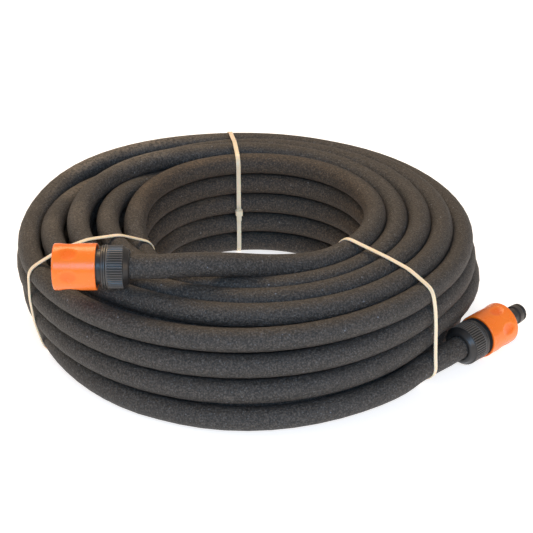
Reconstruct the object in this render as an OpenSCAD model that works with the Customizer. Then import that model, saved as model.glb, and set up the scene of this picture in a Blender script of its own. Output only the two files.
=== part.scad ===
/* [Hose] */
// Outer diameter of the porous hose
hose_d = 17.5; // [15:0.5:19]
// Bore of the hose where a barbed stem stretches it
hose_end_bore = 13.4; // [12.6:0.2:14]
// Outer diameter of the hose where a barbed stem stretches it
hose_end_d = 18.2; // [17.6:0.2:19]
// Least gap between neighbouring turns
turn_gap = 0.5; // [0.5:0.1:1.5]

/* [Coil] */
// Diameter of the open middle of the coil
coil_hole_d = 175; // [150:1:240]
// Depth of the flats that the lowest turns stand on, as a share of the hose's diameter
flat_share = 0.1; // [0.06:0.02:0.12]

/* [Connector] */
// Outer diameter of the release sleeve
sleeve_d = 33; // [32.6:0.1:36]
// Length of the release sleeve
sleeve_len = 30.1; // [28:0.1:32]
// How far the release sleeve draws back
sleeve_travel = 3; // [1.5:0.1:3.2]
// Diameter of the body inside the sleeve
barrel_d = 24.3; // [24:0.1:24.6]
// Diameter of the body's flange behind the nut
flange_d = 31; // [30:0.1:32]
// Bore that takes a spigot
socket_d = 15.4; // [15.2:0.1:16]
// Bore that a spigot's seal ring runs in
seal_bore_d = 14.5; // [14:0.1:14.8]
// Bore of the waterway
water_d = 9.5; // [7:0.1:10]
// Diameter over the clamp nut's ribs
nut_d = 30.6; // [30.2:0.1:33]
// Number of ribs round the clamp nut
nut_ribs = 50; // [30:1:60]
// Diameter of the body's thread
thread_d = 26; // [25.6:0.1:26.4]
// Oval thumb dimples round the sleeve
dimples = 6; // [3:1:8]
// Depth of each thumb dimple
dimple_depth = 1.2; // [0.4:0.1:1.3]

/* [Locking claws] */
// Number of claws in each connector
claws = 3; // [3:1:4]
// Width of each claw
claw_w = 6.6; // [5:0.1:7.5]
// Clearance round each claw
claw_gap = 0.3; // [0.2:0.05:0.4]

/* [Two way spigot] */
// Diameter of the spigot's collars
collar_d = 15; // [14.8:0.1:15.1]
// Diameter of the grooves that the claws hold
groove_d = 12.4; // [11.6:0.1:12.5]
// Length of the spigot from tip to tip
spigot_len = 48; // [47:0.5:50]
// Bore of the spigot
spigot_bore = 8.5; // [6:0.5:8.5]
// Thickness of the seal rings
ring_t = 2; // [1.6:0.1:2]

/* [Cable ties] */
// Width of the straps
tie_w = 3.6; // [2.5:0.1:4.8]
// Thickness of the straps
tie_t = 1.2; // [1:0.1:1.6]
// Clearance between a strap and the hose
tie_gap = 0.2; // [0.1:0.05:0.4]

/* [Hidden] */

rubber = [0.20, 0.19, 0.19];
black_plastic = [0.13, 0.13, 0.14];
orange_plastic = [1.00, 0.48, 0.18];
nylon = [0.95, 0.88, 0.74];
steel = [0.70, 0.71, 0.73];

hose_r = hose_d / 2;
fine = 96;
far = 400;      // longer than anything that it cuts
eps = 0.01;

// ---- The wound hose ----------------------------------------------------
// Turns lie a pitch apart, in lanes counted outwards from the hole and rows counted up from the floor.
turn_pitch = hose_d + turn_gap;
first_lane_r = coil_hole_d / 2 + hose_r;
lowest_z = hose_r - flat_share * hose_d;
start_angle = -60;
rings_per_turn = 24;
coil_sides = 6;
// The winding, as [turn, lane, row]: down the inner wall, out across the floor, up through the core,
// out across the top and down the outer wall. It moves half a pitch faster past each corner.
winding = [
    [0, 0, 4.05], [0.2, 0, 3.8], [3.25, 0, 0.75], [3.75, 0, 0], [4.25, 0.75, 0], [6.5, 3, 0],
    [6.6, 3, 1], [6.9, 1.15, 3], [7, 1.15, 3.9], [8, 2.15, 3.95], [9, 3.15, 3.87], [9.5, 3.66, 3.85],
    [10, 4.15, 3.42], [11, 4.25, 2.4], [12 + 1 / 12, 3.8, 1.32],
    [12.5, 4.35, 0.8], [12.85, 4.5, 0.35], [13 + 1 / rings_per_turn, 4.6, 0.4]
];
turns = winding[len(winding) - 1][0];
last_turn = 12;
lane_of = [for (w = winding) [w[0], w[1]]];
row_of = [for (w = winding) [w[0], w[2]]];
function turn_r(t) = first_lane_r + turn_pitch * lookup(t, lane_of);
function turn_z(t) = lowest_z + turn_pitch * lookup(t, row_of);
function turn_angle(t) = start_angle + 360 * t;
function around(angle) = [cos(angle), sin(angle), 0];
function along(t) = around(turn_angle(t) + 90);
function on_coil(t) = turn_r(t) * around(turn_angle(t)) + [0, 0, turn_z(t)];

// Both ends of the wound hose run straight for one diameter.
coil_rings = round(turns * rings_per_turn);
coil_centres = [for (i = [0:coil_rings]) on_coil(i / rings_per_turn)];
coil_start = on_coil(0) - hose_d * along(0);
coil_end = on_coil(turns) + hose_d * along(turns);

// Each turn is measured against every ring that lies half a turn or more further on.
least_gap = min([
    for (i = [0:coil_rings - rings_per_turn / 2], j = [i + rings_per_turn / 2:coil_rings])
        norm(coil_centres[i] - coil_centres[j])
]) - hose_d;
echo(least_gap_of_coil_mm = least_gap);

// ---- The two free stretches of hose ----------------------------------------
// Where each connector's clamp nut ends, and the way its socket faces. The inlet's run is a list of
// points chosen along it, as [x, y, height above the first turn], for a first turn of this radius.
route_r = 96;
route_scale = first_lane_r / route_r;
inlet_route = [
    [15, -99, 4], [-5, -108, 10.4], [-25, -116, 16.3], [-45, -123, 19.9], [-64, -127, 20.8], [-82, -127, 20.8]
];
function on_route(p) = [p[0] * route_scale, p[1] * route_scale, turn_z(0) + p[2]];
inlet_run = [for (p = inlet_route) on_route(p)];
inlet_at = inlet_run[len(inlet_run) - 1];
outlet_run = 23;
outlet_turn = turn_angle(turns) + 90 - 360 * floor(turns);
outlet_up = sleeve_d / 2 + 0.1;
outlet_at = [coil_end[0], coil_end[1], 0] + outlet_run * along(turns) + [0, 0, outlet_up];
straight_run = 15;
start_run = 4;
lead_sides = 10;

// ---- Connector stations, from the nut's hose end towards the mouth ---------
nut_bevel = 4.7;
nut_len = 15.9;
nut_hole_d = 19.6;
flange_at = 16.1;
flange_t = 3.4;
neck_gap = 0.4;
sleeve_at = flange_at + flange_t + sleeve_travel + neck_gap;
mouth_at = sleeve_at + sleeve_len;
barrel_end = mouth_at - 1;
stem_at = 1.5;
stem_d = 12;
barb_d = 13.2;
barbs = 3;
barb_pitch = 4;
thread_at = 9.5;
thread_bore_d = 19;
end_wall = 1.7;
spigot_depth = 24;    // how far the spigot goes in from the mouth
seal_bore_at = mouth_at - spigot_depth - 0.5;
socket_at = mouth_at - 19.8;
claw_at = mouth_at - 14.5;
claw_len = 4;
claw_tip_r = groove_d / 2 + 0.2;
entry_at = claw_at + claw_len + 1.2;
claw_room_r = socket_d / 2 + 0.4;
spring_seat_at = sleeve_at + 0.5;
spring_seat_t = 1.2;
spring_step_at = claw_at - 1.6;
sleeve_wall = 1.4;
sleeve_room_r = sleeve_d / 2 - sleeve_wall;
ledge_at = mouth_at - 6;
ledge_end = mouth_at - 3.2;
fit_gap = 0.3;
cone_slope = 0.45;
cone_r = barrel_d / 2 + 0.35;
claw_back_r = cone_r + cone_slope * 2;
lip_r = barrel_d / 2 + 1.45;
lip_at = ledge_end + 0.2;
grip_at = 2;
grip_len = 7.2;
grip_slope = 4.2;
grip_bore_d = hose_end_d + 0.3;
spring_wire = 1.4;
spring_turns = 5;
spring_r = (barrel_d / 2 + sleeve_room_r) / 2;
inlet_dimple = 30;    // the angle of one dimple round each connector
outlet_dimple = 10;

// ---- Spigot stations, each way from its middle --------------------------------
half_len = spigot_len / 2;
groove_from = half_len - 14;
collar_from = half_len - 8.5;
nose_from = half_len - 4.5;
nose_d = 14;
tip_edge = 0.5;
tip_round = 1.1;
ring_seat = half_len - 2.5;
ring_room = 0.2;
ring_r = collar_d / 2 - 0.3 - ring_t / 2;
spigot_middle = mouth_at - spigot_depth + half_len;
seal_floor = ring_r - ring_t / 2 - 0.05;

// ---- The frame ----------------------------------------------------------------
// The origin is the middle of the whole footprint, on the floor.
function reach(angle) = turn_r(last_turn + (angle - start_angle) / 360) + hose_r;
spigot_reach = outlet_at[0] + (spigot_middle + half_len + nose_d / 2 - 2 * tip_edge) * cos(outlet_turn);
footprint_middle = [(spigot_reach - reach(180)) / 2, (reach(90) - reach(270)) / 2, 0];

// ---- Cable ties -------------------------------------------------------------
// The angle of each strap round the coil.
tie_left_angle = 206;
tie_back_angle = 97;
tie_right_angle = -42;
tie_head = [6.4, 5, 5.4];   // across the strap, out from the hose, along the strap
tie_head_z = 38;
tie_tail = 5;
tie_tail_out = 1.2;

// ---- Shared shapes -------------------------------------------------------------
function ring_of(centre, side, up, r, n) =
    [for (k = [0:n - 1]) centre + r * (cos(360 * k / n) * side + sin(360 * k / n) * up)];
function above_floor(ring) = [for (p = ring) [p[0], p[1], max(p[2], 0)]];
function unit(v) = v / norm(v);
function dir(angle) = [cos(angle), sin(angle)];

// A closed skin over a row of rings that all have the same number of points.
module skin(rings) {
    n = len(rings[0]);
    last = (len(rings) - 1) * n;
    walls = [
        for (i = [0:len(rings) - 2], k = [0:n - 1])
            let (a = i * n + k, b = i * n + (k + 1) % n)
                each [[a, b, a + n], [b, b + n, a + n]]
    ];
    first_cap = [for (k = [1:n - 2]) [0, k + 1, k]];
    last_cap = [for (k = [1:n - 2]) [last, last + k, last + k + 1]];
    polyhedron(points = [for (r = rings) each r], faces = concat(walls, first_cap, last_cap));
}

// A tube along a list of points, each ring square to the path there.
module swept(path, r, n) {
    last = len(path) - 1;
    skin([
        for (i = [0:last])
            let (
                ahead = unit(path[min(i + 1, last)] - path[max(i - 1, 0)]),
                side = unit(cross(ahead, [0, 0, 1])),
                up = cross(side, ahead)
            ) ring_of(path[i], side, up, r, n)
    ]);
}

module turned(profile) {
    rotate_extrude($fn = fine) polygon(profile);
}

module pipe(at, length, outer_d, inner_d) {
    turned([
        [inner_d / 2, at], [outer_d / 2, at], [outer_d / 2, at + length], [inner_d / 2, at + length]
    ]);
}

module placed() {
    translate(-footprint_middle) children();
}

module at_inlet() {
    translate(inlet_at) rotate([0, -90, 0]) children();
}

module at_outlet() {
    translate(outlet_at) rotate([0, 90, outlet_turn]) children();
}

// ---- Hose ------------------------------------------------------------------------
function lane(n, row) = [first_lane_r + n * turn_pitch, lowest_z + row * turn_pitch];

module coil_core() {
    turned([
        lane(0, 0), lane(2.5, 0), lane(4.05, 1.3), lane(4.1, 2.2), lane(4, 3),
        lane(3.4, 3.6), lane(2, 3.7), lane(1.2, 3.6), lane(0, 3)
    ]);
}

function turn_ring(centre, t) =
    above_floor(ring_of(centre, around(turn_angle(t)), [0, 0, 1], hose_r, coil_sides));

module wound_turns() {
    skin([
        turn_ring(coil_start, 0),
        for (i = [0:coil_rings]) turn_ring(coil_centres[i], i / rings_per_turn),
        turn_ring(coil_end, turns)
    ]);
}

module hose_coil() {
    color(rubber) difference() {
        union() {
            coil_core();
            wound_turns();
        }
        tie_slots();
    }
}

// The last stretch of hose, which a barbed stem opens out inside the clamp nut.
module hose_socket() {
    pipe(-1, flange_at, hose_end_d, hose_end_bore);
}

module inlet_hose_end() {
    color(rubber) {
        at_inlet() hose_socket();
        swept(concat([coil_start, coil_start - start_run * along(0)], inlet_run), hose_r, lead_sides);
    }
}

module outlet_hose_end() {
    color(rubber) {
        at_outlet() hose_socket();
        swept([
            coil_end, coil_end + start_run * along(turns), outlet_at - straight_run * along(turns), outlet_at
        ], hose_r, lead_sides);
    }
}

// ---- Connector -----------------------------------------------------------------------
module connector_body() {
    color(black_plastic) difference() {
        union() {
            pipe(stem_at, flange_at, stem_d, water_d);
            for (i = [0:barbs - 1]) barb(stem_at + 0.6 + i * barb_pitch);
            pipe(thread_at, flange_at - thread_at + eps, thread_d, thread_bore_d);
            flange();
            turned([
                [water_d / 2, flange_at + end_wall / 2], [barrel_d / 2, flange_at + end_wall / 2],
                [barrel_d / 2, barrel_end], [socket_d / 2, barrel_end], [socket_d / 2, entry_at],
                [claw_room_r, entry_at - 0.4], [claw_room_r, socket_at],
                [seal_bore_d / 2, socket_at - 0.4], [seal_bore_d / 2, seal_bore_at],
                [water_d / 2, seal_bore_at]
            ]);
            pipe(spring_seat_at, spring_seat_t, 2 * (sleeve_room_r - fit_gap), barrel_d - 1);
            turned([
                [barrel_d / 2 - 0.5, lip_at], [barrel_d / 2, lip_at], [lip_r, lip_at + 0.6],
                [lip_r, barrel_end - 0.8], [lip_r - 0.8, barrel_end], [barrel_d / 2 - 0.5, barrel_end]
            ]);
        }
        for (i = [0:claws - 1]) rotate([0, 0, 360 * i / claws]) claw_window();
    }
}

module barb(at) {
    turned([[stem_d / 2 - 0.5, at], [stem_d / 2, at], [barb_d / 2, at + 2.6], [stem_d / 2 - 0.5, at + 2.6]]);
}

// Two rings with a groove between them.
module flange() {
    r = flange_d / 2;
    groove = 0.9;
    turned([
        [water_d / 2, flange_at], [r - 0.6, flange_at], [r, flange_at + 0.4], [r, flange_at + 1.2],
        [r - groove, flange_at + 1.4], [r - groove, flange_at + 1.8], [r - 0.2, flange_at + 2],
        [r - 0.2, flange_at + 2.8], [r - 0.8, flange_at + flange_t], [water_d / 2, flange_at + flange_t]
    ]);
}

module claw_window() {
    translate([seal_bore_d / 4, -claw_w / 2 - claw_gap, claw_at - claw_gap / 2])
        cube([sleeve_d / 2, claw_w + 2 * claw_gap, claw_len + claw_gap]);
}

// A block that reaches through the body's wall, with a back that slopes like the sleeve's cone.
module claw(i) {
    color(black_plastic) rotate([0, 0, 360 * i / claws]) intersection() {
        translate([0, -claw_w / 2, claw_at]) cube([sleeve_d / 2, claw_w, claw_len]);
        turned([
            [claw_tip_r + 0.4, claw_at], [cone_r - fit_gap, claw_at], [claw_back_r - fit_gap, claw_at + 2],
            [claw_back_r - fit_gap, claw_at + claw_len], [claw_tip_r + 1, claw_at + claw_len],
            [claw_tip_r, claw_at + claw_len - 1], [claw_tip_r, claw_at + 0.4]
        ]);
    }
}

module release_sleeve(first_dimple) {
    r = sleeve_d / 2;
    // In front of its cone, the sleeve's room is no wider than the cone gets before the ledge.
    cone_out_r = min(sleeve_room_r, cone_r + cone_slope * (ledge_at - fit_gap - claw_at));
    cone_out = claw_at + (cone_out_r - cone_r) / cone_slope;
    dimple_r = 22;
    color(orange_plastic) difference() {
        turned([
            [sleeve_room_r, sleeve_at], [r - 0.5, sleeve_at], [r, sleeve_at + 0.5], [r, mouth_at - 1.6],
            [r - 0.45, mouth_at - 0.5], [r - 1.6, mouth_at], [lip_r + fit_gap, mouth_at],
            [lip_r + fit_gap, ledge_end], [barrel_d / 2 + fit_gap, ledge_end],
            [barrel_d / 2 + fit_gap, ledge_at], [cone_out_r, ledge_at],
            [cone_out_r, cone_out], [cone_r, claw_at], [cone_r, spring_step_at],
            [sleeve_room_r, spring_step_at]
        ]);
        for (i = [0:dimples - 1])
            rotate([0, 0, first_dimple + 360 * i / dimples])
                translate([r - dimple_depth + dimple_r, 0, mouth_at - 11.2]) sphere(dimple_r, $fn = fine);
    }
}

module spring() {
    from = spring_seat_at + spring_seat_t + spring_wire / 2 + 0.1;
    to = spring_step_at - spring_wire / 2 - 0.1;
    steps = 12;
    color(steel) skin([
        for (i = [0:spring_turns * steps])
            let (a = 360 * i / steps, rise = (to - from) * i / (spring_turns * steps))
                ring_of(spring_r * around(a) + [0, 0, from + rise], around(a), [0, 0, 1], spring_wire / 2, 6)
    ]);
}

module clamp_nut() {
    r = nut_d / 2;
    band = 0.8;
    ribs_at = nut_bevel - 0.7;
    hollow_r = grip_r(1) + fit_gap;
    color(black_plastic) difference() {
        union() {
            turned([
                [nut_hole_d / 2, 0], [r - 4, 0], [r - 3.2, 0.5], [r - 1.2, ribs_at],
                [r - 1.2, nut_len - band], [r, nut_len - band], [r, nut_len], [nut_hole_d / 2, nut_len]
            ]);
            translate([0, 0, ribs_at]) linear_extrude(nut_len - band / 2 - ribs_at) ribs(r - 0.1);
        }
        turned([
            [0, -1], [nut_hole_d / 2, -1], [nut_hole_d / 2, 1.5], [grip_r(0) + fit_gap, 1.7],
            [hollow_r, grip_at + grip_slope], [hollow_r, thread_at - 0.4],
            [thread_d / 2 + fit_gap, thread_at - 0.2], [thread_d / 2 + fit_gap, nut_len + 1], [0, nut_len + 1]
        ]);
    }
}

// The outline of the nut's ribs: each has a flat tip and a flat valley.
module ribs(r) {
    valley_r = r - 0.55;
    rib = [[0, r], [0.5, r], [0.6, valley_r], [0.9, valley_r]];
    polygon([for (i = [0:nut_ribs - 1], corner = rib) corner[1] * dir(360 * (i + corner[0]) / nut_ribs)]);
}

function grip_r(share) = grip_bore_d / 2 + 0.8 + 1.6 * share;

// A split ring with a sloping back, which the nut closes on the hose.
module grip_ring() {
    slits = 6;
    slit = [sleeve_d, 1, 5.5];
    color(black_plastic) difference() {
        turned([
            [grip_bore_d / 2, grip_at], [grip_r(0), grip_at], [grip_r(1), grip_at + grip_slope],
            [grip_r(1), grip_at + grip_len], [grip_bore_d / 2, grip_at + grip_len]
        ]);
        translate([0, -slit[1] / 2, grip_at - 1]) cube([slit[0], slit[1], grip_len + 2]);
        for (i = [1:slits - 1])
            rotate([0, 0, 360 * i / slits]) translate([0, -slit[1] / 2, grip_at - 1]) cube(slit);
    }
}

// ---- Two way spigot ----------------------------------------------------------------------
module spigot() {
    color(black_plastic) at_outlet() translate([0, 0, spigot_middle]) difference() {
        union() {
            half_spigot();
            mirror([0, 0, 1]) half_spigot();
        }
        cylinder(d = spigot_bore, h = spigot_len + 2, center = true, $fn = fine);
    }
}

module half_spigot() {
    tip = half_len;
    seat = ring_t / 2 + ring_room;
    turned([
        [0, -eps], [collar_d / 2, -eps], [collar_d / 2, groove_from - 0.5], [groove_d / 2, groove_from],
        [groove_d / 2, collar_from - 0.3], [collar_d / 2, collar_from + 0.4], [collar_d / 2, nose_from - 0.6],
        [nose_d / 2, nose_from], [nose_d / 2, ring_seat - seat], [seal_floor, ring_seat - seat],
        [seal_floor, ring_seat + seat], [nose_d / 2, ring_seat + seat],
        [nose_d / 2, tip - tip_round], [nose_d / 2 - tip_edge, tip - tip_edge],
        [nose_d / 2 - tip_round, tip], [0, tip]
    ]);
}

module seal_ring(way) {
    color(rubber) at_outlet() translate([0, 0, spigot_middle + way * ring_seat])
        rotate_extrude($fn = fine) translate([ring_r, 0]) circle(d = ring_t, $fn = 32);
}

// ---- Cable ties ---------------------------------------------------------------------------
// The turns that pass a given angle, as [radius, height], with the straight end of the last one.
end_share = atan(hose_d / turn_r(turns)) / 360;
function passes(angle) = [
    for (k = [0:ceil(turns)])
        let (t = k + ((angle - start_angle) % 360) / 360)
            if (t <= turns + end_share)
                [t > turns ? turn_r(turns) / cos(360 * (t - turns)) : chord_r(t), turn_z(t)]
];

// The radius of the straight stretch between the two rings either side of t.
function chord_r(t) =
    let (
        step = 360 / rings_per_turn,
        i = floor(t * rings_per_turn),
        past = step * (t * rings_per_turn - i),
        a = turn_r(i / rings_per_turn),
        b = turn_r((i + 1) / rings_per_turn)
    ) a * b * sin(step) / (a * sin(past) + b * sin(step - past));

module strap_outline(held, room) {
    intersection() {
        hull() for (p = held) translate(p) circle(hose_r + room, $fn = 32);
        translate([0, tie_gap + tie_t - room]) square(far);
    }
}

// A strap drawn tight round the bundle, with its head and cut tail on the inner wall.
module cable_tie(angle) {
    held = passes(angle);
    inner = min([for (p = held) p[0]]) - hose_r - tie_gap;
    color(nylon) rotate([90, 0, angle]) translate([0, 0, -tie_w / 2]) {
        linear_extrude(tie_w) difference() {
            strap_outline(held, tie_gap + tie_t);
            strap_outline(held, tie_gap);
        }
        translate([inner - tie_head[1], tie_head_z, (tie_w - tie_head[0]) / 2])
            cube([tie_head[1] - 0.1, tie_head[2], tie_head[0]]);
        translate([inner - tie_head[1] + tie_tail_out, tie_head_z - tie_tail, 0])
            cube([tie_t, tie_tail + 1, tie_w]);
    }
}

module tie_slots() {
    slot = [far, tie_w + 2 * tie_gap, 1 + tie_t + 2 * tie_gap];
    for (angle = [tie_left_angle, tie_back_angle, tie_right_angle])
        rotate([0, 0, angle]) translate([0, -slot[1] / 2, -1]) cube(slot);
}

placed() hose_coil();
placed() inlet_hose_end();
placed() outlet_hose_end();
placed() at_inlet() connector_body();  // inlet_body
placed() at_inlet() clamp_nut();  // inlet_clamp_nut
placed() at_inlet() grip_ring();  // inlet_grip_ring
placed() at_inlet() release_sleeve(inlet_dimple);  // inlet_release_sleeve
placed() at_inlet() spring();  // inlet_spring
placed() at_inlet() claw(0);  // inlet_claw_1
placed() at_inlet() claw(1);  // inlet_claw_2
placed() at_inlet() claw(2);  // inlet_claw_3
placed() at_outlet() connector_body();  // outlet_body
placed() at_outlet() clamp_nut();  // outlet_clamp_nut
placed() at_outlet() grip_ring();  // outlet_grip_ring
placed() at_outlet() release_sleeve(outlet_dimple);  // outlet_release_sleeve
placed() at_outlet() spring();  // outlet_spring
placed() at_outlet() claw(0);  // outlet_claw_1
placed() at_outlet() claw(1);  // outlet_claw_2
placed() at_outlet() claw(2);  // outlet_claw_3
placed() spigot();
placed() seal_ring(-1);  // spigot_inner_seal
placed() seal_ring(1);  // spigot_outer_seal
placed() cable_tie(tie_left_angle);  // cable_tie_left
placed() cable_tie(tie_back_angle);  // cable_tie_back
placed() cable_tie(tie_right_angle);  // cable_tie_right
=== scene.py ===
"""A porous soaker hose wound into a ring, with a click connector on each end and three cable ties.

Lengths are in metres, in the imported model's frame. The ring's middle is at RING.
"""
import math

import bmesh
import bpy
import numpy as np
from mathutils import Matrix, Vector

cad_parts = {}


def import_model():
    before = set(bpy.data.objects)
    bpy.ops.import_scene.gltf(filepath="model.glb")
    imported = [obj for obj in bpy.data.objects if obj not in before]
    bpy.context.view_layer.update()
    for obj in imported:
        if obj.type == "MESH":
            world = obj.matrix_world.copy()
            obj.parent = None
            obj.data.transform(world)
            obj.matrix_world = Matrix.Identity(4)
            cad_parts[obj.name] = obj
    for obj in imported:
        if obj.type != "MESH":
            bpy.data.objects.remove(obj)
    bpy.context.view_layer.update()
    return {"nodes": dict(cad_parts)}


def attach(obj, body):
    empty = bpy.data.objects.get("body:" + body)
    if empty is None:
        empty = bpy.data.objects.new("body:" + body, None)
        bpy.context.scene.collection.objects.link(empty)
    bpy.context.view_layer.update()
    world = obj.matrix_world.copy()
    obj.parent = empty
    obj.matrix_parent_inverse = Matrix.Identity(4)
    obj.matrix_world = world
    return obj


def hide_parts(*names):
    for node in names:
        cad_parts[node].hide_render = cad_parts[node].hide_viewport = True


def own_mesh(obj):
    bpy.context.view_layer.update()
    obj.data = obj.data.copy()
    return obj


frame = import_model()

MM = 0.001
OD = 0.0175                                    # the hose, over its wall
HOSE_END_R = 0.0091                            # the hose opened out over the barbs
BORE_R = 0.0069                                # the bore that the barbed stem fills
STEM_DEPTH = 0.0125
RING = np.array([-0.014675, 0.002653, 0.0])    # the middle of the ring, on the floor
SEED = 11
rng = np.random.default_rng(SEED)


# ---- Camera, lights and floor --------------------------------------------------------
def aim(obj, at):
    """Turns a light's face towards a point."""
    obj.rotation_euler = (Vector(at) - obj.location).to_track_quat("-Z", "Y").to_euler()


def add_camera():
    data = bpy.data.cameras.new("camera")
    data.lens, data.sensor_width = 97.9, 36.0
    data.clip_start, data.clip_end = 0.05, 50
    look_down = 28
    cam = bpy.data.objects.new("camera", data)
    cam.location = (-0.00168, -1.01832, 0.576)
    cam.rotation_euler = (math.radians(90 - look_down), 0, 0)
    bpy.context.scene.collection.objects.link(cam)
    bpy.context.scene.camera = cam


def area_light(name, at, target, size, watts, colour):
    data = bpy.data.lights.new(name, "AREA")
    data.shape, data.size, data.size_y = "RECTANGLE", size[0], size[1]
    data.energy, data.color = watts, colour
    light = bpy.data.objects.new(name, data)
    light.location = at
    bpy.context.scene.collection.objects.link(light)
    aim(light, target)


# Each softbox: its place, what it is aimed at, its width and height, its watts and its colour.
SOFTBOXES = {
    "softbox_front": ((0.3, -2.05, 1.33), (0, 0, 0.05), (2.0, 0.9), 39, (0.30, 0.61, 1.0)),
    "softbox_back": ((-0.4, 1.2, 1.9), (0, 0, 0.03), (1.8, 1.0), 34, (1.0, 0.73, 0.45)),
    "softbox_left": ((-2.0, -0.3, 1.2), (0, 0, 0.05), (1.0, 1.2), 10.5, (1.0, 0.77, 0.52)),
    "softbox_right": ((1.5, -1.5, 0.9), (0.15, -0.08, 0.03), (0.7, 0.7), 10, (1.0, 0.70, 0.42)),
}


def add_lights():
    for name, setting in SOFTBOXES.items():
        area_light(name, *setting)
    world = bpy.data.worlds.new("studio")
    bpy.context.scene.world = world
    world.use_nodes = True
    back = world.node_tree.nodes["Background"]
    back.inputs["Color"].default_value = (1.0, 0.92, 0.84, 1)
    back.inputs["Strength"].default_value = 0.36
    bpy.context.scene.view_settings.view_transform = "Standard"


def add_floor():
    bm = bmesh.new()
    bmesh.ops.create_circle(bm, cap_ends=True, radius=8, segments=64)
    floor = mesh_object("floor", bm)
    floor.location.z = -0.0004
    mat, nodes, links, shader = new_material("floor_paper")
    tint = noise(nodes, 3.0, 3)
    ramp = colour_ramp(nodes, [(0.3, (0.62, 0.62, 0.62)), (0.7, (0.66, 0.66, 0.66))])
    links.new(tint.outputs["Fac"], ramp.inputs["Fac"])
    links.new(ramp.outputs["Color"], shader.inputs["Base Color"])
    shader.inputs["Roughness"].default_value = 0.9
    shader.inputs["Emission Color"].default_value = (1.0, 0.96, 0.92, 1)
    shader.inputs["Emission Strength"].default_value = 0.72
    floor.data.materials.append(mat)


# ---- Material helpers ----------------------------------------------------------------
def new_material(name):
    mat = bpy.data.materials.new(name)
    mat.use_nodes = True
    tree = mat.node_tree
    return mat, tree.nodes, tree.links, tree.nodes["Principled BSDF"]


def coordinates(nodes):
    return nodes.get("Texture Coordinate") or nodes.new("ShaderNodeTexCoord")


def noise(nodes, scale, detail=3.0, rough=0.55, distortion=0.0):
    """A noise texture in the piece's own coordinates."""
    node = nodes.new("ShaderNodeTexNoise")
    node.inputs["Scale"].default_value = scale
    node.inputs["Detail"].default_value = detail
    node.inputs["Roughness"].default_value = rough
    node.inputs["Distortion"].default_value = distortion
    node.id_data.links.new(coordinates(nodes).outputs["Object"], node.inputs["Vector"])
    return node


def cells(nodes, scale):
    """A cell texture in the piece's own coordinates."""
    node = nodes.new("ShaderNodeTexVoronoi")
    node.inputs["Scale"].default_value = scale
    node.id_data.links.new(coordinates(nodes).outputs["Object"], node.inputs["Vector"])
    return node


def colour_ramp(nodes, stops):
    """A ramp through [(position, colour)]."""
    node = nodes.new("ShaderNodeValToRGB")
    ramp = node.color_ramp
    while len(ramp.elements) < len(stops):
        ramp.elements.new(0.5)
    for element, (at, colour) in zip(ramp.elements, stops):
        element.position = at
        element.color = (*colour, 1)
    return node


def mask(nodes, source, low, high):
    """A value turned into 0 at low and 1 at high, and no more."""
    node = nodes.new("ShaderNodeMapRange")
    node.inputs["From Min"].default_value = low
    node.inputs["From Max"].default_value = high
    node.id_data.links.new(source, node.inputs["Value"])
    return node.outputs["Result"]


def between(nodes, source, low, high):
    """A value from 0 to 1 turned into one from low to high."""
    node = nodes.new("ShaderNodeMapRange")
    node.inputs["To Min"].default_value = low
    node.inputs["To Max"].default_value = high
    node.id_data.links.new(source, node.inputs["Value"])
    return node.outputs["Result"]


def split(nodes, kind, source):
    """The parts of a colour or a vector, by name."""
    node = nodes.new(kind)
    node.id_data.links.new(source, node.inputs[0])
    return node.outputs


def mixed(nodes, factor, a, b, kind="MIX"):
    """Two colours mixed. The factor is a number or a socket, and each colour a tuple or a socket."""
    node = nodes.new("ShaderNodeMix")
    node.data_type, node.blend_type = "RGBA", kind
    link = node.id_data.links.new
    if isinstance(factor, float):
        node.inputs["Factor"].default_value = factor
    else:
        link(factor, node.inputs["Factor"])
    for socket, value in (("A", a), ("B", b)):
        target = next(s for s in node.inputs if s.name == socket and s.type == "RGBA")
        if isinstance(value, tuple):
            target.default_value = (*value, 1)
        else:
            link(value, target)
    return next(s for s in node.outputs if s.type == "RGBA")


def times(nodes, a, b):
    """Two values multiplied. Each is a number or a socket."""
    node = nodes.new("ShaderNodeMath")
    node.operation = "MULTIPLY"
    for i, value in enumerate((a, b)):
        if isinstance(value, (int, float)):
            node.inputs[i].default_value = value
        else:
            node.id_data.links.new(value, node.inputs[i])
    return node.outputs[0]


def bump(nodes, height, strength, distance, before=None):
    """A bump from a height, laid over the bump before it."""
    node = nodes.new("ShaderNodeBump")
    node.inputs["Strength"].default_value = strength
    node.inputs["Distance"].default_value = distance
    node.id_data.links.new(height, node.inputs["Height"])
    if before is not None:
        node.id_data.links.new(before.outputs["Normal"], node.inputs["Normal"])
    return node


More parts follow.
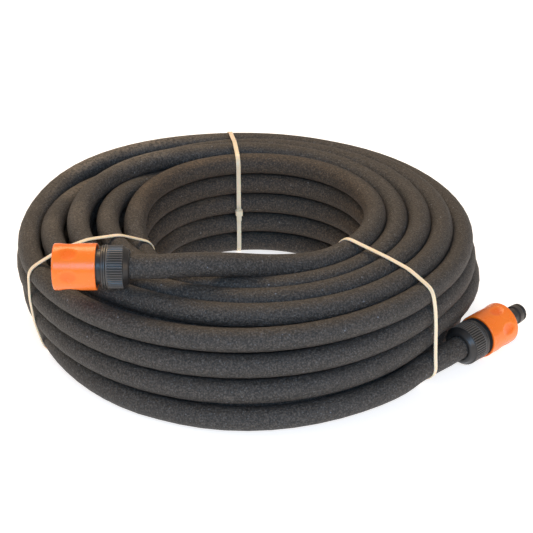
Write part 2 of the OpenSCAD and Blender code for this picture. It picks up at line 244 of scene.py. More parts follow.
# ---- Materials -----------------------------------------------------------------------
def porous_rubber():
    """Crumb rubber: a fine brown and grey grain, open pores, pale crumbs, painted warm light in patches
    on the tops, and a browner painted far wall.
    """
    mat, nodes, links, shader = new_material("porous_rubber_hose")
    grain = noise(nodes, 760, 4, 0.66)
    base = colour_ramp(nodes, [
        (0.38, (0.008, 0.007, 0.006)), (0.5, (0.034, 0.029, 0.025)), (0.63, (0.098, 0.083, 0.070)),
    ])
    links.new(grain.outputs["Fac"], base.inputs["Fac"])
    patches = noise(nodes, 560, 3, 0.6)
    brown = mixed(nodes, times(nodes, mask(nodes, patches.outputs["Fac"], 0.5, 0.68), 0.4),
                  base.outputs["Color"], (0.050, 0.038, 0.028))
    specks = cells(nodes, 640)
    tone = split(nodes, "ShaderNodeSeparateColor", specks.outputs["Color"])
    speck = mask(nodes, specks.outputs["Distance"], 0.42, 0.22)
    faint = times(nodes, speck, mask(nodes, tone["Green"], 0.62, 0.9))
    brown = mixed(nodes, times(nodes, faint, 0.75), brown, (0.115, 0.112, 0.110))
    crumbs = cells(nodes, 210)
    spot = mask(nodes, crumbs.outputs["Distance"], 0.16, 0.09)
    pick = split(nodes, "ShaderNodeSeparateColor", crumbs.outputs["Color"])
    chosen = times(nodes, spot, mask(nodes, pick["Red"], 0.90, 0.94))
    speckled = mixed(nodes, times(nodes, chosen, 0.55), brown, (0.28, 0.30, 0.34))
    # Painted warm light lies in patches on the upward-facing tops of the turns, at the left and the
    # back of the ring.
    broad = noise(nodes, 11, 2, 0.5, 0.6)
    facing = split(nodes, "ShaderNodeSeparateXYZ", coordinates(nodes).outputs["Normal"])
    on_top = mask(nodes, facing["Z"], 0.35, 0.95)
    warm_tops_painted = times(nodes, mask(nodes, broad.outputs["Fac"], 0.44, 0.60), on_top)
    place = split(nodes, "ShaderNodeSeparateXYZ", coordinates(nodes).outputs["Object"])
    at_left = mask(nodes, place["X"], -0.02, -0.10)
    warm_tops_painted = times(nodes, warm_tops_painted, times(nodes, at_left, mask(nodes, place["Y"], -0.04, 0.03)))
    warm_patches_painted = times(nodes, warm_tops_painted, mask(nodes, noise(nodes, 420, 3, 0.7).outputs["Fac"], 0.38, 0.62))
    warm_lit_colour = mixed(nodes, times(nodes, warm_patches_painted, 0.85), speckled, (0.23, 0.185, 0.14))
    # Painted warm light on the hole's far wall: its colour is made browner there.
    near_hole = mask(nodes, from_axis(nodes, RING, (0.0, 0.0, 1.0)), 0.104, 0.090)
    far_wall = times(nodes, near_hole, mask(nodes, place["Y"], -0.02, 0.03))
    painted_warm_wall = mixed(nodes, far_wall, warm_lit_colour, (1.17, 0.94, 0.72), "MULTIPLY")
    links.new(painted_warm_wall, shader.inputs["Base Color"])
    rough = mask(nodes, grain.outputs["Fac"], 0.3, 0.8)
    links.new(between(nodes, rough, 0.56, 0.82), shader.inputs["Roughness"])
    shader.inputs["Specular IOR Level"].default_value = 0.55
    soft = bump(nodes, noise(nodes, 430, 3, 0.6).outputs["Fac"], 0.7, 0.0011)
    fine = bump(nodes, grain.outputs["Fac"], 0.9, 0.0009, soft)
    pits = bump(nodes, cells(nodes, 900).outputs["Distance"], 0.45, 0.0005, fine)
    links.new(pits.outputs["Normal"], shader.inputs["Normal"])
    return mat


def from_axis(nodes, at, along):
    """The distance of a point from a line, which goes through a place along a unit vector."""
    offset = nodes.new("ShaderNodeVectorMath")
    offset.operation = "SUBTRACT"
    offset.inputs[1].default_value = tuple(at)
    across = nodes.new("ShaderNodeVectorMath")
    across.operation = "CROSS_PRODUCT"
    across.inputs[1].default_value = tuple(along)
    length = nodes.new("ShaderNodeVectorMath")
    length.operation = "LENGTH"
    link = across.id_data.links.new
    link(coordinates(nodes).outputs["Object"], offset.inputs[0])
    link(offset.outputs["Vector"], across.inputs[0])
    link(across.outputs["Vector"], length.inputs[0])
    return length.outputs["Value"]


def plastic(name, colour, dark, rough, grain_strength, worn=None, scatter=0.0, shaded_hollows=None):
    """Moulded plastic: slight colour drift, a fine moulded grain, paler wear on its edges, and painted
    shade in its hollows.

    The last argument gives a painted shade colour, and the distances from a connector's axis at which
    it starts and is full; nearer the axis, in the ribs' troughs and the dimples, that shade is painted
    in.
    """
    mat, nodes, links, shader = new_material(name)
    drift = noise(nodes, 38, 3, 0.5)
    base = mixed(nodes, mask(nodes, drift.outputs["Fac"], 0.35, 0.7), dark, colour)
    if worn is not None:
        scratch = noise(nodes, 260, 4, 0.7)
        edge = nodes.new("ShaderNodeNewGeometry")
        raised = times(nodes, mask(nodes, edge.outputs["Pointiness"], 0.52, 0.60), 0.35)
        rubbed = times(nodes, raised, mask(nodes, scratch.outputs["Fac"], 0.35, 0.6))
        base = mixed(nodes, rubbed, base, worn)
    # Painted shade: the surface nearer a connector's axis than the given distance is darkened towards
    # the shade colour.
    if shaded_hollows is not None:
        tint, start, full = shaded_hollows
        nearer = nodes.new("ShaderNodeMath")
        nearer.operation = "MINIMUM"
        for i, (at, axes) in enumerate(((INLET, INLET_AXES), (OUTLET, OUTLET_AXES))):
            links.new(from_axis(nodes, at, axes[2]), nearer.inputs[i])
        painted_hollow_shade = times(nodes, mask(nodes, nearer.outputs[0], start, full), 0.8)
        base = mixed(nodes, painted_hollow_shade, base, tint)
    links.new(base, shader.inputs["Base Color"])
    smear = noise(nodes, 90, 3, 0.6)
    smeared = between(nodes, smear.outputs["Fac"], rough - 0.05, rough + 0.08)
    links.new(smeared, shader.inputs["Roughness"])
    skin = bump(nodes, noise(nodes, 850, 2, 0.5).outputs["Fac"], grain_strength, 0.00018)
    links.new(skin.outputs["Normal"], shader.inputs["Normal"])
    if scatter:
        shader.inputs["Subsurface Weight"].default_value = scatter
        shader.inputs["Subsurface Radius"].default_value = (1.0, 0.5, 0.25)
        shader.inputs["Subsurface Scale"].default_value = 0.0012
    return mat


def spring_steel():
    mat, nodes, links, shader = new_material("drawn_spring_wire")
    base = colour_ramp(nodes, [(0.3, (0.50, 0.50, 0.51)), (0.7, (0.66, 0.66, 0.67))])
    links.new(noise(nodes, 300, 3, 0.6).outputs["Fac"], base.inputs["Fac"])
    links.new(base.outputs["Color"], shader.inputs["Base Color"])
    shader.inputs["Metallic"].default_value = 1.0
    shader.inputs["Roughness"].default_value = 0.3
    drawn = bump(nodes, noise(nodes, 1500, 2).outputs["Fac"], 0.2, 0.0001)
    links.new(drawn.outputs["Normal"], shader.inputs["Normal"])
    return mat


# ---- Mesh helpers --------------------------------------------------------------------
def mesh_object(name, bm):
    data = bpy.data.meshes.new(name)
    bmesh.ops.recalc_face_normals(bm, faces=bm.faces)
    if bm.calc_volume(signed=True) < 0:
        bmesh.ops.reverse_faces(bm, faces=bm.faces)
    bm.to_mesh(data)
    bm.free()
    obj = bpy.data.objects.new(name, data)
    bpy.context.scene.collection.objects.link(obj)
    return obj


def grid_object(name, rings, closed_rows=False):
    """A skin over closed rings of points, with a cap on each end.

    With closed_rows the last ring joins the first, and there are no caps.
    """
    rings = np.asarray(rings, float)
    count, n = rings.shape[:2]
    rows = count if closed_rows else count - 1
    faces = []
    for i in range(rows):
        a, b = i * n, ((i + 1) % count) * n
        faces.extend((a + k, a + (k + 1) % n, b + (k + 1) % n, b + k) for k in range(n))
    if not closed_rows:
        faces.append(tuple(range(n))[::-1])
        faces.append(tuple((count - 1) * n + k for k in range(n)))
    data = bpy.data.meshes.new(name)
    data.from_pydata([tuple(p) for p in rings.reshape(-1, 3)], [], faces)
    data.validate()
    bm = bmesh.new()
    bm.from_mesh(data)
    bmesh.ops.recalc_face_normals(bm, faces=bm.faces)
    for f in bm.faces:
        f.smooth = True
    bm.to_mesh(data)
    bm.free()
    obj = bpy.data.objects.new(name, data)
    bpy.context.scene.collection.objects.link(obj)
    return obj


def sharp_edges(obj, degrees):
    """Smooth shading with creases where faces meet at more than this angle."""
    obj.data.set_sharp_from_angle(angle=math.radians(degrees))


def smoothstep(x):
    x = np.clip(x, 0, 1)
    return x * x * (3 - 2 * x)


# ---- The connectors' frames ----------------------------------------------------------
# Each one's origin is where its hose goes in, and its third axis points out of its mouth.
INLET = np.array([-0.096888, -0.124678, 0.1007])
OUTLET = np.array([0.140571, -0.095317, 0.0166])
INLET_AXES = np.array([[0, 0, 1], [0, 1, 0], [-1, 0, 0]], float)
OUTLET_TURN = math.radians(45)
OUTLET_AXES = np.array([
    [0, 0, -1], [-math.sin(OUTLET_TURN), math.cos(OUTLET_TURN), 0],
    [math.cos(OUTLET_TURN), math.sin(OUTLET_TURN), 0],
])


# ---- The hose's winding --------------------------------------------------------------
# Angles run anticlockwise seen from above, in degrees, with 270 at the front. Radii and heights are in
# hose diameters. The ring is built in columns from the hole outwards; each column has its rows, and the
# hose steps from one place to the next once a turn, at the back left.
STATIONS = 72      # points in each turn
START, END = -60.0, -52.0
RAMP, RAMP_WIDTH = 165.0, 66.0     # where the hose steps to its next place, and over how many degrees
FLAT = 0.965       # the turns' height over their width, from their own weight
LOWEST = 0.5 * FLAT
ORDER = (
    [(0, r) for r in (4, 3, 2, 1, 0)] + [(1, r) for r in range(5)] + [(2, r) for r in (4, 3, 2, 1, 0)]
    + [(3, r) for r in range(5)] + [(4, r) for r in (3, 2, 1, 0)]
)
# Steps that lie earlier or later than the others, in degrees.
RAMP_SHIFT = {0: 24, 1: 12, 7: -30, 8: -34, 9: -26, 10: -14, 17: -25, 18: -40, 19: 4}
# Each column's radius, its top row's height at the back and at the front, its number of rows less one,
# and how much it leans.
COLUMN_R = (5.45, 6.50, 7.53, 8.56, 9.66)
TOP_BACK = (4.62, 4.70, 4.52, 4.28, 3.85)
TOP_FRONT = (4.60, 4.20, 4.36, 4.06, 3.70)
LAST_ROW = (4, 4, 4, 4, 3)
LEAN_SHARE = (0.0, 0.17, 0.41, 0.76, 1.0)
OUTER = len(COLUMN_R) - 1


def by_angle(phi, table):
    """A smooth periodic reading of [(angle, value)]."""
    angles, values = zip(*table)
    fine = np.arange(0, 360, 5.0)
    rough = np.interp(fine, angles, values, period=360)
    kernel = np.array([1, 2, 3, 2, 1]) / 9
    soft = np.convolve(np.r_[rough[-2:], rough, rough[:2]], kernel, "valid")
    return float(np.interp(phi % 360, fine, soft, period=360))


# How far each lower row stands out from the row above it, the outer column's shift, and the radius of
# its lowest turn, each as [(angle, value)].
LEAN = [
    (0, 0.28), (60, 0.17), (120, 0.04), (165, -0.02), (200, -0.06), (222, -0.02), (240, 0.1),
    (262, 0.25), (296, 0.29), (316, 0.14), (332, 0.03), (346, 0.12),
]
OUTER_SHIFT = [
    (0, -0.20), (90, 0.0), (130, 0.1), (160, 0.55), (188, 0.42), (206, 0.2), (225, 0.05),
    (264, 0.0), (310, -0.06), (342, -0.26),
]
BOTTOM_R = [
    (165, 9.35), (195, 9.25), (213, 9.18), (226, 9.6), (236, 9.98), (250, 10.35), (264, 10.5),
    (281, 10.38), (295, 10.3), (308, 10.3), (340, 10.3),
]
TOP_SHIFT = (-0.2, -0.1, 0.16, 0.12, 0.0)      # each column's top row, at the left
INNER_SHIFT = 0.24                             # the hole's centre, to the right
NOTCH_IN, NOTCH_UP = 0.26, 0.34                # the outer turns over the outlet's stretch
OUTLET_RISE = 0.45                             # the last turn, from the floor to the outlet


def place_of(column, row, phi):
    """The radius and height that a turn in this column and row aims for at this angle."""
    back = (1 + math.sin(math.radians(phi))) / 2
    top = TOP_BACK[column] * back + TOP_FRONT[column] * (1 - back)
    rows = LAST_ROW[column]
    height = LOWEST + (top - LOWEST) / rows * row
    lean = by_angle(phi, LEAN) * LEAN_SHARE[column]
    radius = COLUMN_R[column] + lean * (rows - row)
    outer_share = column / OUTER
    inner_shift = INNER_SHIFT * math.cos(math.radians(phi))
    depth = (rows - row) / rows
    outer_shift = by_angle(phi, OUTER_SHIFT)
    radius += inner_shift * (1 - outer_share) + outer_shift * outer_share * (1 - 1.4 * depth ** 2)
    if row == rows:
        radius += TOP_SHIFT[column] * math.exp(-((phi % 360 - 190) / 38) ** 2)
    if column == OUTER and row > 0:
        # Over the outlet's stretch the outer turns sit up in the notches of the column inside them.
        notch = math.exp(-((phi % 360 - 316) / 30) ** 2)
        radius -= NOTCH_IN * notch
        height += NOTCH_UP * notch * (1 - row / 4)
    if (column, row) == (OUTER, 0):
        # The last turn rises from the floor to the outlet.
        radius = by_angle(phi, BOTTOM_R)
        height += OUTLET_RISE * float(smoothstep((phi % 360 - 268) / 55)) * (phi % 360 > 200)
    return radius, height


def outlet_rooms(phis):
    """What the turns keep clear of at each angle, as [radius, height, distance from there].

    That is the hose's last stretch, and the outlet's connector with its nut backed off.
    """
    at, axis = (OUTLET - RING) / OD, OUTLET_AXES[2]
    first_angle, last_angle = -50.5, -14
    turn_room = 9.0        # half the hose, and a little more, in mm like the widths below
    rooms = np.full((len(phis), 3), np.nan)
    for i, phi in enumerate(phis):
        if not first_angle < (phi + 180) % 360 - 180 < last_angle:
            continue
        a = math.radians(phi)
        out, across = (math.cos(a), math.sin(a), 0), (-math.sin(a), math.cos(a), 0)
        u = -(at @ across) / (axis @ across)
        centre = at + u * axis
        station = u * OD / MM
        # The hose's own radius, then the nut's from where it backs off to, then the sleeve's. Behind
        # them the hose dips towards the floor.
        body = 8.75 + 6.95 * smoothstep((station + 15) / 7) + 1.1 * smoothstep((station - 15) / 5)
        low = 4.5 * smoothstep((-25 - station) / 35)
        rooms[i] = centre @ out, centre[2] - low * MM / OD, (body + turn_room) * MM / OD
    return rooms


# How the turns settle: the steps, from which of them on the pull to their places is weak, from which on
# the smoothing is less, and how far apart the middles of two turns come to rest.
SETTLE_STEPS, WEAK_PULL_FROM, LESS_SMOOTH_FROM = 600, 400, 520
REST_APART = 1.006
SCATTER = 0.02         # how much the turns' places differ by chance


def winding():
    """The hose's line through the ring: angles, and the relaxed radius and height at each."""
    ramps = [RAMP + 360 * i + RAMP_SHIFT.get(i, 0) for i in range(len(ORDER) - 1)]
    last = 360 * len(ramps) + END
    phis = np.arange(START, last + 0.01, 360 / STATIONS)
    aims = []
    for phi in phis:
        i = int(np.argmin([abs(phi - r) for r in ramps]))
        w = float(smoothstep((phi - ramps[i]) / RAMP_WIDTH + 0.5))
        a, b = place_of(*ORDER[i], phi), place_of(*ORDER[i + 1], phi)
        aims.append((a[0] * (1 - w) + b[0] * w, a[1] * (1 - w) + b[1] * w))
    aims = np.array(aims)
    n = len(aims)
    turns = math.ceil(n / STATIONS)
    line = np.full((turns * STATIONS, 2), np.nan)
    line[:n] = aims + rng.normal(0, SCATTER, (n, 2))
    scale = np.array([1.0, 1 / FLAT])
    same = np.arange(turns)
    rooms = outlet_rooms(phis)
    near = ~np.isnan(rooms[:, 0])
    for step in range(SETTLE_STEPS):
        cut = line.reshape(turns, STATIONS, 2)
        away = (cut[:, None] - cut[None]) * scale
        gap = np.sqrt((away ** 2).sum(-1))
        gap[same, same] = 99    # a turn isn't pushed by itself
        over = np.nan_to_num(np.clip(REST_APART - gap, 0, None))
        push = np.nan_to_num(away) / np.maximum(np.nan_to_num(gap, nan=1.0), 1e-6)[..., None]
        push = push * (over * 0.5)[..., None]
        moved = line[:n] + push.sum(1).reshape(-1, 2)[:n] / scale * 0.8
        pull = 0.04 if step < WEAK_PULL_FROM else 0.012
        moved += pull * (aims - moved)
        soft = moved.copy()
        soft[1:-1] = (moved[:-2] + moved[2:]) / 2
        smoothing = 0.5 if step < LESS_SMOOTH_FROM else 0.25
        moved += smoothing * (soft - moved)
        out = moved[near] - rooms[near, :2]
        reach = np.linalg.norm(out, axis=1)
        moved[near] += out / reach[:, None] * np.clip(rooms[near, 2] - reach, 0, None)[:, None]
        moved[:, 1] = np.maximum(moved[:, 1], LOWEST)
        line[:n] = moved
    return phis, line[:n]


# The free end to the inlet connector, from the ring's first turn up over the top, as in the CAD model.
INLET_RUN = np.array([
    (0.4, -95.4, 85.5), (-19.7, -105.0, 91.6), (-39.7, -113.6, 96.5), (-59.8, -120.7, 100.0),
    (-78.8, -124.7, 100.7),
]) * MM


def evenly(points, step):
    """Points on a smooth curve through these, about a step apart."""
    p = np.asarray(points, float)
    length = np.r_[0, np.cumsum(np.linalg.norm(np.diff(p, axis=0), axis=1))]
    slopes = np.gradient(p, length, axis=0)
    out = []
    for i in range(len(p) - 1):
        span = length[i + 1] - length[i]
        count = max(1, int(round(span / step)))
        t = (np.arange(count) / count)[:, None]
        h00, h10 = 2 * t**3 - 3 * t**2 + 1, t**3 - 2 * t**2 + t
        h01, h11 = -2 * t**3 + 3 * t**2, t**3 - t**2
        out.append(h00 * p[i] + h10 * span * slopes[i] + h01 * p[i + 1] + h11 * span * slopes[i + 1])
    out.append(p[-1:])
    return np.concatenate(out)


def eased(points, low, high, rounds):
    """Smooths the points between two places of a line, without drawing its curves in."""
    p = np.array(points)
    for _ in range(rounds):
        for gain in (0.5, -0.53):
            q = p.copy()
            q[1:-1] += gain * ((p[:-2] + p[2:]) / 2 - p[1:-1])
            p[low:high] = q[low:high]
    return p


LINE_STEP = 0.006
TAIL_SAG = np.array([-0.0009, 0.0009, -0.0004])


def hose_line():
    """The whole hose's middle line, and how many of its points are its lead and its ring."""
    phis, line = winding()
    a = np.radians(phis)
    ring = np.stack([line[:, 0] * np.cos(a), line[:, 0] * np.sin(a), line[:, 1]], 1) * OD + RING
    # The line starts and ends inside the nuts, and is straight behind them.
    inside, straight = 0.0135, 0.020
    u = INLET_AXES[2]
    start = np.concatenate([
        [INLET + inside * u], [INLET + inside / 2 * u], [INLET], [INLET - 0.008 * u],
        INLET_RUN[::-1],
    ])
    u = OUTLET_AXES[2]
    end = np.array([
        OUTLET - 0.030 * u, OUTLET - straight * u, OUTLET - straight / 2 * u, OUTLET,
        OUTLET + inside / 2 * u, OUTLET + inside * u,
    ])
    end[0] += TAIL_SAG
    lead = evenly(np.concatenate([start, ring[:1]]), LINE_STEP)[:-1]
    tail = evenly(np.concatenate([ring[-1:], end]), LINE_STEP)[1:]
    full = np.concatenate([lead, ring, tail])
    rounds = 25
    full = eased(full, 8, len(lead) + 10, rounds)
    full = eased(full, len(lead) + len(ring) - 12, len(full) - 6, rounds)
    return full, len(lead), len(ring)


def rings_along(line, radius, sides, flat):
    """Rings square to a line; radius and flat are given for each point."""
    ahead = np.gradient(line, axis=0)
    ahead /= np.linalg.norm(ahead, axis=1)[:, None]
    side = np.cross(ahead, [0, 0, 1])
    side /= np.linalg.norm(side, axis=1)[:, None]
    up = np.cross(side, ahead)
    t = np.arange(sides) * 2 * math.pi / sides
    return (
        line[:, None] + (np.cos(t)[None, :, None] * side[:, None]) * radius[:, None, None]
        + (np.sin(t)[None, :, None] * up[:, None]) * (radius * flat)[:, None, None]
    )


def open_end(ring, centre, inner, radius):
    """The rim of the bore at one end of the hose, and the bore's far end round the stem."""
    rim = [centre + (p - centre) * BORE_R / radius for p in ring]
    deep = centre - (centre - inner) / np.linalg.norm(centre - inner) * STEM_DEPTH
    return rim, [p + (deep - centre) for p in rim]


def build_hose(material):
    """The hose in one piece. Returns it with its middle line and its length."""
    line, lead, wound = hose_line()
    n = len(line)
    along = np.r_[0, np.cumsum(np.linalg.norm(np.diff(line, axis=0), axis=1))]
    swell_from, swell_over = 0.020, 0.012
    swell = smoothstep((swell_from - np.minimum(along, along[-1] - along)) / swell_over)
    radius = OD / 2 + (HOSE_END_R - OD / 2) * swell
    # Only the wound part is flattened, and it turns round over a few points at each end.
    index = np.arange(n)
    coiled = smoothstep(np.minimum(index - lead + 10, lead + wound + 6 - index) / 14)
    flat = 1 - (1 - FLAT) * coiled
    # The extruded wall wanders a little in diameter.
    wander = np.convolve(rng.normal(0, 1, n + 8), np.ones(9) / 9, "valid")
    radius = radius * (1 + 0.006 * wander)
    sides = 24
    outer = rings_along(line, radius, sides, flat)
    outer[:, :, 2] = np.maximum(outer[:, :, 2], 0)
    # Each end is open, and the barbed stem fills its bore.
    first_rim, first_deep = open_end(outer[0], line[0], line[1], radius[0])
    last_rim, last_deep = open_end(outer[-1], line[-1], line[-2], radius[-1])
    rings = np.concatenate([[first_deep], [first_rim], outer, [last_rim], [last_deep]])
    hose = grid_object("soaker_hose", rings)
    hose.data.materials.append(material)
    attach(hose, "hose")
    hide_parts("hose_coil", "inlet_hose_end", "outlet_hose_end")
    return hose, line, float(along[-1])


# ---- Cable ties ----------------------------------------------------------------------
def swing(height, low):
    """How far a strap's plane bends sideways towards the floor."""
    return low * (1 - smoothstep((height - 0.010) / 0.055))


def crossings(line, angle, low):
    """Where the hose passes the half plane that stands at this angle, as (radius, height)."""
    p = line - RING
    c, s = math.cos(math.radians(angle)), math.sin(math.radians(angle))
    out = p[:, 0] * c + p[:, 1] * s
    across = -p[:, 0] * s + p[:, 1] * c - swing(p[:, 2], low)
    hits = []
    for i in np.nonzero(np.diff(np.sign(across)))[0]:
        if out[i] > 0:
            w = across[i] / (across[i] - across[i + 1])
            hits.append((out[i] * (1 - w) + out[i + 1] * w, p[i, 2] * (1 - w) + p[i + 1, 2] * w))
    return np.array(hits)


def outline(hits, room):
    """A tight closed loop round circles at these places, as points 1 mm apart."""
    t = np.arange(96) * 2 * math.pi / 96
    r = OD / 2 + room
    dots = np.concatenate([h + np.stack([np.cos(t), np.sin(t) * FLAT], 1) * r for h in hits])
    dots[:, 1] = np.maximum(dots[:, 1], 0.0003 + room * 0.3)
    order = dots[np.lexsort((dots[:, 1], dots[:, 0]))]

    def half(points):
        out = []
        for p in points:
            while len(out) > 1 and np.cross(out[-1] - out[-2], p - out[-2]) <= 0:
                out.pop()
            out.append(p)
        return out[:-1]

    loop = np.array(half(order) + half(order[::-1]))
    loop = np.concatenate([loop, loop[:1]])
    length = np.r_[0, np.cumsum(np.linalg.norm(np.diff(loop, axis=0), axis=1))]
    count = int(length[-1] / MM)
    at = np.linspace(0, length[-1], count, endpoint=False)
    return np.stack([np.interp(at, length, loop[:, k]) for k in (0, 1)], 1)


TIE_WIDTH, TIE_THICK = 0.0036, 0.0011
TIE_HEAD_Z = 0.038
# Each tie's angle round the ring, and how far it bends sideways at the floor.
TIES = {"cable_tie_left": (206, 0), "cable_tie_back": (97, 0), "cable_tie_right": (-40.5, -0.010)}


def cable_tie(node, line, angle, low, material):
    """A strap drawn tight round the ring, with its head and its cut tail on the inner wall."""
    hits = crossings(line, angle, low)
    loop = outline(hits, 0.0003 + TIE_THICK / 2)
    for _ in range(12):
        loop = (np.roll(loop, 1, 0) + 2 * loop + np.roll(loop, -1, 0)) / 4
    loop[:, 1] = np.maximum(loop[:, 1], TIE_THICK / 2 + 0.0001)
    c, s = math.cos(math.radians(angle)), math.sin(math.radians(angle))
    out_way, side_way = np.array([c, s, 0]), np.array([-s, c, 0])

    def world(r, z, across):
        return RING + out_way * r + np.array([0, 0, z]) + side_way * (across + float(swing(z, low)))

    ahead = np.roll(loop, -1, 0) - np.roll(loop, 1, 0)
    ahead /= np.linalg.norm(ahead, axis=1)[:, None]
    normal = np.stack([ahead[:, 1], -ahead[:, 0]], 1)
    h, w = TIE_THICK / 2, TIE_WIDTH / 2
    # The strap's section: bevelled edges and a shallow channel down its outer face.
    section = [
        (-w, -h * 0.5), (-w * 0.86, -h), (0, -h), (w * 0.86, -h), (w, -h * 0.5), (w, h * 0.55),
        (w * 0.84, h), (w * 0.52, h), (w * 0.44, h * 0.62), (0, h * 0.62),
        (-w * 0.44, h * 0.62), (-w * 0.52, h), (-w * 0.84, h), (-w, h * 0.55),
    ]
    rings = []
    for i, (p, outwards) in enumerate(zip(loop, normal)):
        tooth = 0.00012 if i % 2 else 0.0
        ring = []
        for across, off in section:
            # The teeth are on the inner face.
            off = off + tooth if off < -h * 0.9 else off
            q = p + outwards * off
            ring.append(world(q[0], q[1], across))
        rings.append(ring)
    strap = grid_object(node + "_strap", rings, closed_rows=True)
    sharp_edges(strap, 32)
    # The head, with its slot and pawl, and the cut tail below it.
    inner = loop[np.abs(loop[:, 1] - TIE_HEAD_Z) < 0.002]
    r0 = inner[:, 0].min() + h

    def block(kind, radii, heights, half_width, bevel, slot=None):
        """A bevelled block, placed from the strap's face and the head's foot, and narrower in front."""
        bm = bmesh.new()
        bmesh.ops.create_cube(bm, size=1)
        for v in bm.verts:
            r = r0 - (radii[0] if v.co.x < 0 else radii[1])
            z = TIE_HEAD_Z + (heights[0] if v.co.z < 0 else heights[1])
            taper = 0.86 if v.co.x < 0 else 1.0
            v.co = Vector(world(r, z, math.copysign(half_width * taper, v.co.y)))
        if slot is not None:
            wall, depth = slot
            face = min(bm.faces, key=lambda f: f.calc_center_median().z)
            bmesh.ops.inset_individual(bm, faces=[face], thickness=wall, depth=0)
            for v in face.verts:
                v.co.z += depth
        bmesh.ops.bevel(
            bm, geom=list(bm.edges), offset=bevel, segments=2, affect="EDGES", clamp_overlap=True,
        )
        obj = mesh_object(f"{node}_{kind}", bm)
        for f in obj.data.polygons:
            f.use_smooth = True
        sharp_edges(obj, 40)
        return obj

    head = block("head", (0.0052, 0.0002), (0, 0.0054), 0.0032, 0.0006, slot=(0.0011, 0.0012))
    tail = block("tail", (0.0036, 0.0024), (-0.0042, 0.0012), w, 0.0003)
    pawl = block("pawl", (0.0030, 0.0018), (0.0050, 0.0062), 0.0017, 0.0003)
    for part in (strap, head, tail, pawl):
        part.data.materials.append(material)
        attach(part, "hose")
    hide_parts(node)


# ---- Sleeves and nuts ----------------------------------------------------------------
def fillet(points, radii, steps=5):
    """A closed outline with its corners rounded."""
    out = []
    n = len(points)
    for i, (p, r) in enumerate(zip(points, radii)):
        p = np.array(p, float)
        a, b = np.array(points[i - 1], float), np.array(points[(i + 1) % n], float)
        if r <= 0:
            out.append(p)
            continue
        da, db = (a - p) / np.linalg.norm(a - p), (b - p) / np.linalg.norm(b - p)
        angle = math.acos(np.clip(da @ db, -1, 1))
        back = min(
            r / math.tan(angle / 2), np.linalg.norm(a - p) * 0.48, np.linalg.norm(b - p) * 0.48,
        )
        pa, pb = p + da * back, p + db * back
        for t in np.linspace(0, 1, steps):
            out.append((1 - t) ** 2 * pa + 2 * t * (1 - t) * p + t ** 2 * pb)
    return np.array(out)


def dense(outline_points, step):
    """Adds points so that no side is longer than a step."""
    out = []
    n = len(outline_points)
    for i, p in enumerate(outline_points):
        q = outline_points[(i + 1) % n]
        count = max(1, math.ceil(np.linalg.norm(q - p) / step))
        out.extend(p + (q - p) * k / count for k in range(count))
    return np.array(out)


def turned(name, profile, sides, at, axes, shape):
    """Turns a closed outline of (radius, station) in mm about a connector's axis.

    shape gives the radii round it, from a radius, a station and the angles.
    """
    theta = np.arange(sides) * 2 * math.pi / sides
    outwards = np.cos(theta)[:, None] * axes[0] + np.sin(theta)[:, None] * axes[1]
    rings = [at + MM * (shape(r, u, theta)[:, None] * outwards + u * axes[2]) for r, u in profile]
    return grid_object(name, rings, closed_rows=True)


def release_sleeve(name, node, body, at, axes, first_dimple, material):
    """The sleeve, with six soft oval thumb dimples, a rounded mouth and a thin rear rim."""
    mouth, rear, r = 53.0, 22.9, 16.5
    profile = [
        (15.1, rear), (r, rear), (r, mouth), (13.9, mouth), (13.9, 49.8), (12.45, 49.8),
        (12.45, 47.0), (15.1, 47.0), (15.1, 44.7), (12.5, 38.5), (12.5, 36.9), (15.1, 36.9),
    ]
    corner = [0.15, 0.5, 1.7, 0.3, 0, 0.1, 0.1, 0, 0, 0, 0.1, 0]
    outline_points = dense(fillet(profile, corner, 6), 0.6)

    dimple_at, half_length, half_angle = 41.8, 7.2, 17.5
    deepest, blend = 1.15, 0.05

    def dimpled(radius, u, theta):
        if radius < 16.0:
            return np.full(len(theta), radius)
        away = (np.degrees(theta) - first_dimple + 30) % 60 - 30
        depth = deepest * (1 - ((u - dimple_at) / half_length) ** 2 - (away / half_angle) ** 2)
        return radius - 0.5 * (depth + np.sqrt(depth**2 + blend**2))

    sleeve = turned(name, outline_points, 216, at, axes, dimpled)
    sharp_edges(sleeve, 50)
    sleeve.data.materials.append(material)
    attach(sleeve, body)
    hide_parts(node)
    return sleeve


def clamp_nut(name, node, body, at, axes, material):
    """The nut, with fifty rounded ribs, a bevel at the hose and a plain band at the flange."""
    profile = [
        (9.8, 0), (11.3, 0), (12.3, 0.6), (14.2, 3.9), (14.9, 4.15), (15.2, 4.6), (15.2, 14.9),
        (15.3, 15.1), (15.3, 15.9), (13.3, 15.9), (13.3, 9.3), (12.05, 9.1), (12.05, 6.2),
        (10.45, 1.7), (9.8, 1.5),
    ]
    corner = [0.25, 0.3, 0.4, 0.2, 0.2, 0.3, 0.05, 0.05, 0.2, 0.1, 0, 0, 0, 0, 0]
    outline_points = dense(fillet(profile, corner, 4), 1.2)
    ribs, rib_height = 50, 0.62
    ribs_from, ribs_to = 4.0, 15.05

    def ribbed(radius, u, theta):
        if radius < 14.6 or u < ribs_from or u > 15.0:
            return np.full(len(theta), radius)
        wave = 0.5 + 0.5 * np.cos(ribs * theta)
        crest = smoothstep(wave * 1.5 - 0.25)
        fade = float(smoothstep((u - ribs_from) / 0.7) * smoothstep((ribs_to - u) / 0.25))
        return radius - rib_height * (1 - crest) * fade

    nut = turned(name, outline_points, ribs * 8, at, axes, ribbed)
    sharp_edges(nut, 48)
    nut.data.materials.append(material)
    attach(nut, body)
    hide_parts(node)
    return nut


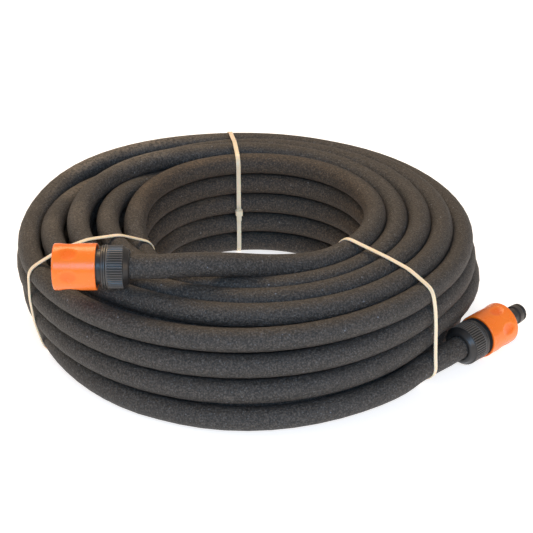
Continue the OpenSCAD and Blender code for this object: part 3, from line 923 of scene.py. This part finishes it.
def return_spring(name, node, at, axes, material):
    """The spring behind a sleeve's ledge, drawn at rest; in the real connector it shortens as the
    sleeve is drawn back over it.
    """
    seat, ledge, travel = 24.6, 36.9, 3.0
    coil_r, wire_r, turns, steps = 13.625, 0.7, 5, 48
    low, high = seat + wire_r + 0.1, ledge - wire_r - 0.1
    t = np.arange(10) * 2 * math.pi / 10
    rings = []
    for i in range(turns * steps + 1):
        a = 2 * math.pi * i / steps
        station = low + (high - low) * i / (turns * steps)
        out = math.cos(a) * axes[0] + math.sin(a) * axes[1]
        across = np.outer(coil_r + wire_r * np.cos(t), out)
        rings.append(at + MM * (across + np.outer(station + wire_r * np.sin(t), axes[2])))
    spring = grid_object(name, rings)
    sharp_edges(spring, 60)
    spring.data.materials.append(material)
    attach(spring, "hose")
    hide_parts(node)
    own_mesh(spring)
    return spring


# ---- The scene -----------------------------------------------------------------------
def dress(names, material):
    """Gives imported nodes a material, in every slot that they have."""
    for name in names:
        obj = frame["nodes"][name]
        if not obj.data.materials:
            obj.data.materials.append(material)
        for i in range(len(obj.data.materials)):
            obj.material_slots[i].material = material


def main():
    add_camera()
    rubber = porous_rubber()
    black = plastic("black_moulded", (0.056, 0.049, 0.043), (0.040, 0.035, 0.031), 0.34, 0.35,
                    worn=(0.13, 0.115, 0.10))
    # The ribs' troughs are painted near-black, as shade between the ribs.
    ribbed = plastic("black_ribbed", (0.105, 0.094, 0.084), (0.078, 0.069, 0.061), 0.34, 0.35,
                     worn=(0.16, 0.145, 0.13), shaded_hollows=((0.006, 0.005, 0.005), 0.01510, 0.01475))
    # The dimples' floors are painted a deeper orange, as shade.
    orange = plastic("orange_moulded", (1.0, 0.218, 0.022), (0.97, 0.195, 0.018), 0.25, 0.35,
                     scatter=0.08, shaded_hollows=((0.95, 0.150, 0.010), 0.01635, 0.0158))
    nylon = plastic("natural_nylon_strap", (0.97, 0.78, 0.55), (0.92, 0.73, 0.50), 0.30, 0.25,
                    scatter=0.2)
    seal = plastic("seal_rubber", (0.010, 0.010, 0.010), (0.007, 0.007, 0.007), 0.5, 0.2)
    steel = spring_steel()

    hose, line, length = build_hose(rubber)
    add_lights()
    add_floor()

    for node, (angle, low) in TIES.items():
        cable_tie(node, line, angle, low, nylon)

    release_sleeve(
        "inlet_sleeve_shell", "inlet_release_sleeve", "inlet_sleeve",
        INLET, INLET_AXES, 30, orange,
    )
    outlet_sleeve = release_sleeve(
        "outlet_sleeve_shell", "outlet_release_sleeve", "outlet_sleeve",
        OUTLET, OUTLET_AXES, 10, orange,
    )
    clamp_nut("inlet_nut_shell", "inlet_clamp_nut", "inlet_nut", INLET, INLET_AXES, ribbed)
    outlet_nut = clamp_nut(
        "outlet_nut_shell", "outlet_clamp_nut", "outlet_nut", OUTLET, OUTLET_AXES, ribbed,
    )

    dress(["inlet_body", "outlet_body", "spigot"], black)
    dress([n for n in frame["nodes"] if "claw" in n or "grip" in n], black)
    dress(["spigot_inner_seal", "spigot_outer_seal"], seal)
    return_spring(
        "inlet_spring_wire", "inlet_spring", INLET, INLET_AXES, steel,
    )
    outlet_spring = return_spring(
        "outlet_spring_wire", "outlet_spring", OUTLET, OUTLET_AXES, steel,
    )


main()
